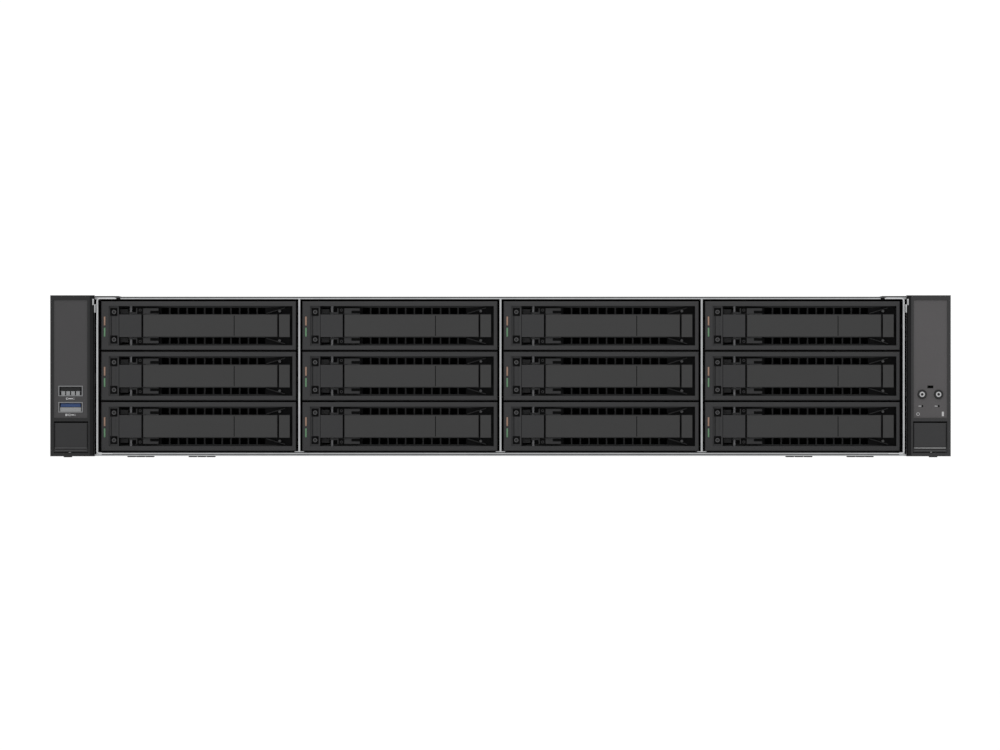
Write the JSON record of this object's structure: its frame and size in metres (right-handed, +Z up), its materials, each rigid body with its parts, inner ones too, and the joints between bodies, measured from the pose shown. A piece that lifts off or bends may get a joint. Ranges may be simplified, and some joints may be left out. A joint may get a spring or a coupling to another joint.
{
  "type": "rack server",
  "caption": "Two-unit rack server: hot-swap front drive carriers with hinged levers, rack ears with controls, lift-off cover, internal boards and fans, pull-out power supplies.",
  "frame": {"origin": "centre of the overall box, on the plane that the case stands on", "axes": "+X to the right seen from the drive side, +Y from the drives to the power inlets, +Z up"},
  "size_m": [0.4826, 0.7982, 0.087],
  "materials": {
    "board": "solder mask",
    "button_plastic": "matt",
    "drive": "dark moulded carrier with a cast drive inside",
    "duct_plastic": "matt",
    "ear_plastic": "fine matt",
    "fan_plastic": "glass-filled",
    "lever_plastic": "fine matt",
    "port_metal": "tinned",
    "screw_steel": "zinc plated",
    "sink_metal": "extruded",
    "supply_metal": "plated sheet",
    "trigger_plastic": "matt",
    "zinc_steel": "zinc plated"
  },
  "bodies": {
    "chassis": {"drive_cage": "zinc_steel", "chassis_base": "zinc_steel", "left_rack_ear": "ear_plastic", "right_rack_ear": "ear_plastic", "front_usb_ports": "port_metal", "backplane": "board", "fan_frames": "fan_plastic", "system_board": "board", "heat_sinks": "sink_metal", "air_duct": "duct_plastic", "riser_cards": "board", "screws": "screw_steel"},
    "drive_01": {"drive_01": "drive"},
    "drive_lever_01": {"drive_lever_01": "lever_plastic"},
    "drive_latch_01": {"drive_latch_01": "lever_plastic"},
    "drive_02": {"drive_02": "drive"},
    "drive_lever_02": {"drive_lever_02": "lever_plastic"},
    "drive_latch_02": {"drive_latch_02": "lever_plastic"},
    "drive_03": {"drive_03": "drive"},
    "drive_lever_03": {"drive_lever_03": "lever_plastic"},
    "drive_latch_03": {"drive_latch_03": "lever_plastic"},
    "drive_04": {"drive_04": "drive"},
    "drive_lever_04": {"drive_lever_04": "lever_plastic"},
    "drive_latch_04": {"drive_latch_04": "lever_plastic"},
    "drive_05": {"drive_05": "drive"},
    "drive_lever_05": {"drive_lever_05": "lever_plastic"},
    "drive_latch_05": {"drive_latch_05": "lever_plastic"},
    "drive_06": {"drive_06": "drive"},
    "drive_lever_06": {"drive_lever_06": "lever_plastic"},
    "drive_latch_06": {"drive_latch_06": "lever_plastic"},
    "drive_07": {"drive_07": "drive"},
    "drive_lever_07": {"drive_lever_07": "lever_plastic"},
    "drive_latch_07": {"drive_latch_07": "lever_plastic"},
    "drive_08": {"drive_08": "drive"},
    "drive_lever_08": {"drive_lever_08": "lever_plastic"},
    "drive_latch_08": {"drive_latch_08": "lever_plastic"},
    "drive_09": {"drive_09": "drive"},
    "drive_lever_09": {"drive_lever_09": "lever_plastic"},
    "drive_latch_09": {"drive_latch_09": "lever_plastic"},
    "drive_10": {"drive_10": "drive"},
    "drive_lever_10": {"drive_lever_10": "lever_plastic"},
    "drive_latch_10": {"drive_latch_10": "lever_plastic"},
    "drive_11": {"drive_11": "drive"},
    "drive_lever_11": {"drive_lever_11": "lever_plastic"},
    "drive_latch_11": {"drive_latch_11": "lever_plastic"},
    "drive_12": {"drive_12": "drive"},
    "drive_lever_12": {"drive_lever_12": "lever_plastic"},
    "drive_latch_12": {"drive_latch_12": "lever_plastic"},
    "top_cover": {"top_cover": "zinc_steel"},
    "left_rack_door": {"left_rack_door": "ear_plastic"},
    "right_rack_door": {"right_rack_door": "ear_plastic"},
    "power_button": {"power_button": "button_plastic"},
    "id_button": {"id_button": "button_plastic"},
    "fan_rotor_1": {"fan_rotor_1": "fan_plastic"},
    "fan_rotor_2": {"fan_rotor_2": "fan_plastic"},
    "fan_rotor_3": {"fan_rotor_3": "fan_plastic"},
    "power_supply_1": {"power_supply_1": "supply_metal"},
    "power_supply_2": {"power_supply_2": "supply_metal"},
    "supply_trigger_1": {"supply_trigger_1": "trigger_plastic"},
    "supply_trigger_2": {"supply_trigger_2": "trigger_plastic"}
  },
  "joints": [
    {"name": "drive_01_slide", "type": "slide", "parent": "chassis", "child": "drive_01", "axis": [0, -1, 0], "range_m": [0, 0.175]},
    {"name": "drive_lever_01_hinge", "type": "hinge", "parent": "drive_01", "child": "drive_lever_01", "pos_m": [-0.1984, -0.3904, 0.0707], "axis": [0, 0, -1], "range_deg": [0, 50]},
    {"name": "drive_latch_01_press", "type": "slide", "parent": "drive_01", "child": "drive_latch_01", "axis": [1, 0, 0], "range_m": [0, 0.0012], "stiffness_N_per_m": 400},
    {"name": "top_cover_lift", "type": "slide", "parent": "chassis", "child": "top_cover", "axis": [0, 0, 1], "range_m": [0, 0.15]},
    {"name": "left_rack_door_hinge", "type": "hinge", "parent": "chassis", "child": "left_rack_door", "pos_m": [-0.2302, -0.3973, 0.0164], "axis": [-1, 0, 0], "range_deg": [0, 95]},
    {"name": "right_rack_door_hinge", "type": "hinge", "parent": "chassis", "child": "right_rack_door", "pos_m": [0.2302, -0.3973, 0.0164], "axis": [-1, 0, 0], "range_deg": [0, 95]},
    {"name": "power_supply_1_slide", "type": "slide", "parent": "chassis", "child": "power_supply_1", "axis": [0, 1, 0], "range_m": [0, 0.2]},
    {"name": "supply_trigger_1_hinge", "type": "hinge", "parent": "power_supply_1", "child": "supply_trigger_1", "pos_m": [0.2164, 0.3441, 0.0222], "axis": [0, 0, 1], "range_deg": [0, 2], "stiffness_Nm_per_rad": 2},
    {"name": "power_supply_2_slide", "type": "slide", "parent": "chassis", "child": "power_supply_2", "axis": [0, 1, 0], "range_m": [0, 0.2]},
    {"name": "power_button_press", "type": "slide", "parent": "chassis", "child": "power_button", "axis": [0, 1, 0], "range_m": [0, 0.001], "stiffness_N_per_m": 800},
    {"name": "id_button_press", "type": "slide", "parent": "chassis", "child": "id_button", "axis": [0, 1, 0], "range_m": [0, 0.001], "stiffness_N_per_m": 800},
    {"name": "fan_rotor_1_spin", "type": "hinge", "parent": "chassis", "child": "fan_rotor_1", "pos_m": [-0.13, -0.1656, 0.0418], "axis": [0, 1, 0], "continuous": true},
    {"name": "fan_rotor_2_spin", "type": "hinge", "parent": "chassis", "child": "fan_rotor_2", "pos_m": [0, -0.1656, 0.0418], "axis": [0, 1, 0], "continuous": true},
    {"name": "fan_rotor_3_spin", "type": "hinge", "parent": "chassis", "child": "fan_rotor_3", "pos_m": [0.13, -0.1656, 0.0418], "axis": [0, 1, 0], "continuous": true},
    {"name": "drive_06_slide", "type": "slide", "parent": "chassis", "child": "drive_06", "axis": [0, -1, 0], "range_m": [0, 0.175]},
    {"name": "drive_lever_06_hinge", "type": "hinge", "parent": "drive_06", "child": "drive_lever_06", "pos_m": [-0.0904, -0.3904, 0.0437], "axis": [0, 0, -1], "range_deg": [0, 50]},
    {"name": "drive_latch_06_press", "type": "slide", "parent": "drive_06", "child": "drive_latch_06", "axis": [1, 0, 0], "range_m": [0, 0.0012], "stiffness_N_per_m": 400},
    {"name": "drive_12_slide", "type": "slide", "parent": "chassis", "child": "drive_12", "axis": [0, -1, 0], "range_m": [0, 0.175]},
    {"name": "drive_lever_12_hinge", "type": "hinge", "parent": "drive_12", "child": "drive_lever_12", "pos_m": [0.1256, -0.3904, 0.0167], "axis": [0, 0, -1], "range_deg": [0, 50]},
    {"name": "drive_latch_12_press", "type": "slide", "parent": "drive_12", "child": "drive_latch_12", "axis": [1, 0, 0], "range_m": [0, 0.0012], "stiffness_N_per_m": 400},
    {"name": "supply_trigger_2_hinge", "type": "hinge", "parent": "power_supply_2", "child": "supply_trigger_2", "pos_m": [0.2164, 0.3441, 0.064], "axis": [0, 0, 1], "range_deg": [0, 2], "stiffness_Nm_per_rad": 2},
    {"name": "drive_02_slide", "type": "slide", "parent": "chassis", "child": "drive_02", "axis": [0, -1, 0], "range_m": [0, 0.175]},
    {"name": "drive_lever_02_hinge", "type": "hinge", "parent": "drive_02", "child": "drive_lever_02", "pos_m": [-0.0904, -0.3904, 0.0707], "axis": [0, 0, -1], "range_deg": [0, 50]},
    {"name": "drive_latch_02_press", "type": "slide", "parent": "drive_02", "child": "drive_latch_02", "axis": [1, 0, 0], "range_m": [0, 0.0012], "stiffness_N_per_m": 400},
    {"name": "drive_03_slide", "type": "slide", "parent": "chassis", "child": "drive_03", "axis": [0, -1, 0], "range_m": [0, 0.175]},
    {"name": "drive_lever_03_hinge", "type": "hinge", "parent": "drive_03", "child": "drive_lever_03", "pos_m": [0.0176, -0.3904, 0.0707], "axis": [0, 0, -1], "range_deg": [0, 50]},
    {"name": "drive_latch_03_press", "type": "slide", "parent": "drive_03", "child": "drive_latch_03", "axis": [1, 0, 0], "range_m": [0, 0.0012], "stiffness_N_per_m": 400},
    {"name": "drive_04_slide", "type": "slide", "parent": "chassis", "child": "drive_04", "axis": [0, -1, 0], "range_m": [0, 0.175]},
    {"name": "drive_lever_04_hinge", "type": "hinge", "parent": "drive_04", "child": "drive_lever_04", "pos_m": [0.1256, -0.3904, 0.0707], "axis": [0, 0, -1], "range_deg": [0, 50]},
    {"name": "drive_latch_04_press", "type": "slide", "parent": "drive_04", "child": "drive_latch_04", "axis": [1, 0, 0], "range_m": [0, 0.0012], "stiffness_N_per_m": 400},
    {"name": "drive_05_slide", "type": "slide", "parent": "chassis", "child": "drive_05", "axis": [0, -1, 0], "range_m": [0, 0.175]},
    {"name": "drive_lever_05_hinge", "type": "hinge", "parent": "drive_05", "child": "drive_lever_05", "pos_m": [-0.1984, -0.3904, 0.0437], "axis": [0, 0, -1], "range_deg": [0, 50]},
    {"name": "drive_latch_05_press", "type": "slide", "parent": "drive_05", "child": "drive_latch_05", "axis": [1, 0, 0], "range_m": [0, 0.0012], "stiffness_N_per_m": 400},
    {"name": "drive_07_slide", "type": "slide", "parent": "chassis", "child": "drive_07", "axis": [0, -1, 0], "range_m": [0, 0.175]},
    {"name": "drive_lever_07_hinge", "type": "hinge", "parent": "drive_07", "child": "drive_lever_07", "pos_m": [0.0176, -0.3904, 0.0437], "axis": [0, 0, -1], "range_deg": [0, 50]},
    {"name": "drive_latch_07_press", "type": "slide", "parent": "drive_07", "child": "drive_latch_07", "axis": [1, 0, 0], "range_m": [0, 0.0012], "stiffness_N_per_m": 400},
    {"name": "drive_08_slide", "type": "slide", "parent": "chassis", "child": "drive_08", "axis": [0, -1, 0], "range_m": [0, 0.175]},
    {"name": "drive_lever_08_hinge", "type": "hinge", "parent": "drive_08", "child": "drive_lever_08", "pos_m": [0.1256, -0.3904, 0.0437], "axis": [0, 0, -1], "range_deg": [0, 50]},
    {"name": "drive_latch_08_press", "type": "slide", "parent": "drive_08", "child": "drive_latch_08", "axis": [1, 0, 0], "range_m": [0, 0.0012], "stiffness_N_per_m": 400},
    {"name": "drive_09_slide", "type": "slide", "parent": "chassis", "child": "drive_09", "axis": [0, -1, 0], "range_m": [0, 0.175]},
    {"name": "drive_lever_09_hinge", "type": "hinge", "parent": "drive_09", "child": "drive_lever_09", "pos_m": [-0.1984, -0.3904, 0.0167], "axis": [0, 0, -1], "range_deg": [0, 50]},
    {"name": "drive_latch_09_press", "type": "slide", "parent": "drive_09", "child": "drive_latch_09", "axis": [1, 0, 0], "range_m": [0, 0.0012], "stiffness_N_per_m": 400},
    {"name": "drive_10_slide", "type": "slide", "parent": "chassis", "child": "drive_10", "axis": [0, -1, 0], "range_m": [0, 0.175]},
    {"name": "drive_lever_10_hinge", "type": "hinge", "parent": "drive_10", "child": "drive_lever_10", "pos_m": [-0.0904, -0.3904, 0.0167], "axis": [0, 0, -1], "range_deg": [0, 50]},
    {"name": "drive_latch_10_press", "type": "slide", "parent": "drive_10", "child": "drive_latch_10", "axis": [1, 0, 0], "range_m": [0, 0.0012], "stiffness_N_per_m": 400},
    {"name": "drive_11_slide", "type": "slide", "parent": "chassis", "child": "drive_11", "axis": [0, -1, 0], "range_m": [0, 0.175]},
    {"name": "drive_lever_11_hinge", "type": "hinge", "parent": "drive_11", "child": "drive_lever_11", "pos_m": [0.0176, -0.3904, 0.0167], "axis": [0, 0, -1], "range_deg": [0, 50]},
    {"name": "drive_latch_11_press", "type": "slide", "parent": "drive_11", "child": "drive_latch_11", "axis": [1, 0, 0], "range_m": [0, 0.0012], "stiffness_N_per_m": 400}
  ]
}
